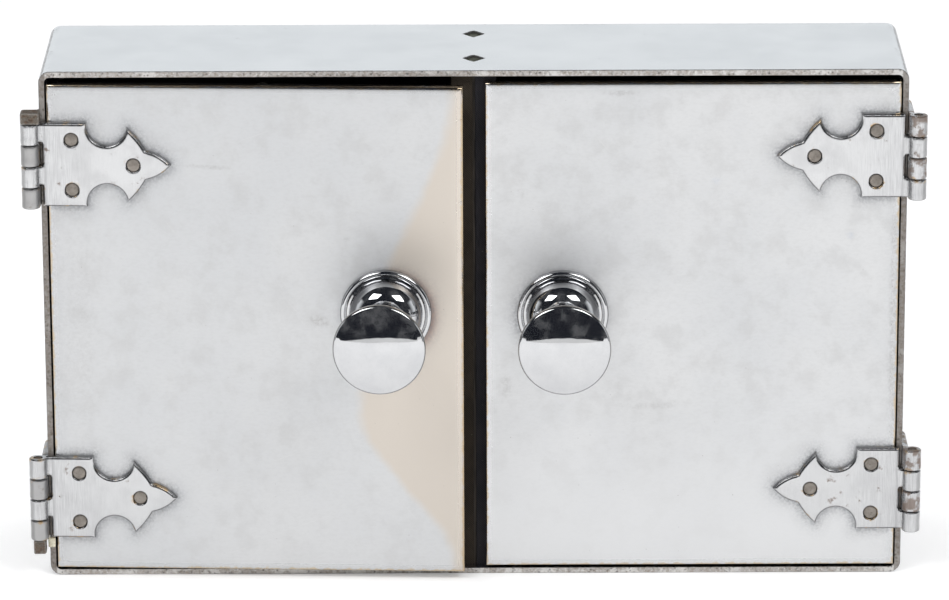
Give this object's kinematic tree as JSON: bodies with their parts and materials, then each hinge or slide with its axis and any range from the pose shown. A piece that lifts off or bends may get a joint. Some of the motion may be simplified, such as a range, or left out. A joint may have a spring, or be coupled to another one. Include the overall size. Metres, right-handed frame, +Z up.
{
  "type": "two-door metal cabinet",
  "caption": "Small two-door cabinet in plated metal, with mirror-polished doors on side hinges, round pull knobs and a cloth-lined interior.",
  "frame": {"origin": "centre of the underside of the case", "axes": "+Z up, +X to the right along the case's width, +Y to the back; the doors face -Y"},
  "size_m": [0.3178, 0.1179, 0.1868],
  "materials": {
    "case_plating": "polished plating with worn, pitted tan edges and fine specks",
    "door_mirror": "mirror-polished plating with faint hairlines, specks and grey tarnish near the edges",
    "hinge_plating": "polished plating with brass showing through at the edges and points",
    "knob_chrome": "bright chrome with tiny specks",
    "rivet_metal": "dull brown-grey flat rivets",
    "screw_steel": "plain steel",
    "rusted_pin": "rough brown corroded iron",
    "tarnished_studs": "rough tarnished metal with green-grey dirt",
    "stained_wood": "black-stained wood",
    "black_cloth": "black twill with pale dust",
    "brown_cloth": "faded brown-black cloth with pale dust",
    "cream_packing": "crumbling cream packing"
  },
  "bodies": {
    "case": {"top_plate": "case_plating", "bottom_plate": "case_plating", "left_side_plate": "case_plating", "right_side_plate": "case_plating", "back_panel": "case_plating", "divider_core": "stained_wood", "divider_left_cloth": "brown_cloth", "divider_right_cloth": "black_cloth", "divider_top_studs": "tarnished_studs", "divider_bottom_studs": "tarnished_studs", "left_side_lining": "black_cloth", "left_floor_lining": "black_cloth", "left_ceiling_lining": "black_cloth", "left_back_lining": "black_cloth", "right_side_lining": "black_cloth", "right_floor_lining": "black_cloth", "right_ceiling_lining": "black_cloth", "right_back_lining": "black_cloth", "upper_left_side_leaf": "hinge_plating", "upper_left_hinge_pin": "rusted_pin", "upper_left_side_rivets": "rivet_metal", "lower_left_side_leaf": "hinge_plating", "lower_left_hinge_pin": "rusted_pin", "lower_left_side_rivets": "rivet_metal", "lower_left_packing_shim": "cream_packing", "upper_right_side_leaf": "hinge_plating", "upper_right_hinge_pin": "screw_steel", "upper_right_side_rivets": "rivet_metal", "lower_right_side_leaf": "hinge_plating", "lower_right_hinge_pin": "screw_steel", "lower_right_side_rivets": "rivet_metal"},
    "left_door": {"left_door_panel": "door_mirror", "left_door_lining": "black_cloth", "left_knob_rose": "knob_chrome", "left_knob_stem": "knob_chrome", "left_knob_head": "knob_chrome", "left_knob_screw": "screw_steel", "left_knob_washer": "screw_steel", "upper_left_door_leaf": "hinge_plating", "upper_left_door_rivets": "rivet_metal", "lower_left_door_leaf": "hinge_plating", "lower_left_door_rivets": "rivet_metal"},
    "right_door": {"right_door_panel": "door_mirror", "right_door_lining": "black_cloth", "right_knob_rose": "knob_chrome", "right_knob_stem": "knob_chrome", "right_knob_head": "knob_chrome", "right_knob_screw": "screw_steel", "right_knob_washer": "screw_steel", "upper_right_door_leaf": "hinge_plating", "upper_right_door_rivets": "rivet_metal", "lower_right_door_leaf": "hinge_plating", "lower_right_door_rivets": "rivet_metal"}
  },
  "joints": [
    {"name": "left_door_hinge", "type": "hinge", "parent": "case", "child": "left_door", "pos_m": [-0.1557, -0.036, 0.0934], "axis": [0, 0, -1], "range_deg": [-2.5, 177.5]},
    {"name": "right_door_hinge", "type": "hinge", "parent": "case", "child": "right_door", "pos_m": [0.1557, -0.036, 0.0934], "axis": [0, 0, 1], "range_deg": [0, 180]}
  ]
}
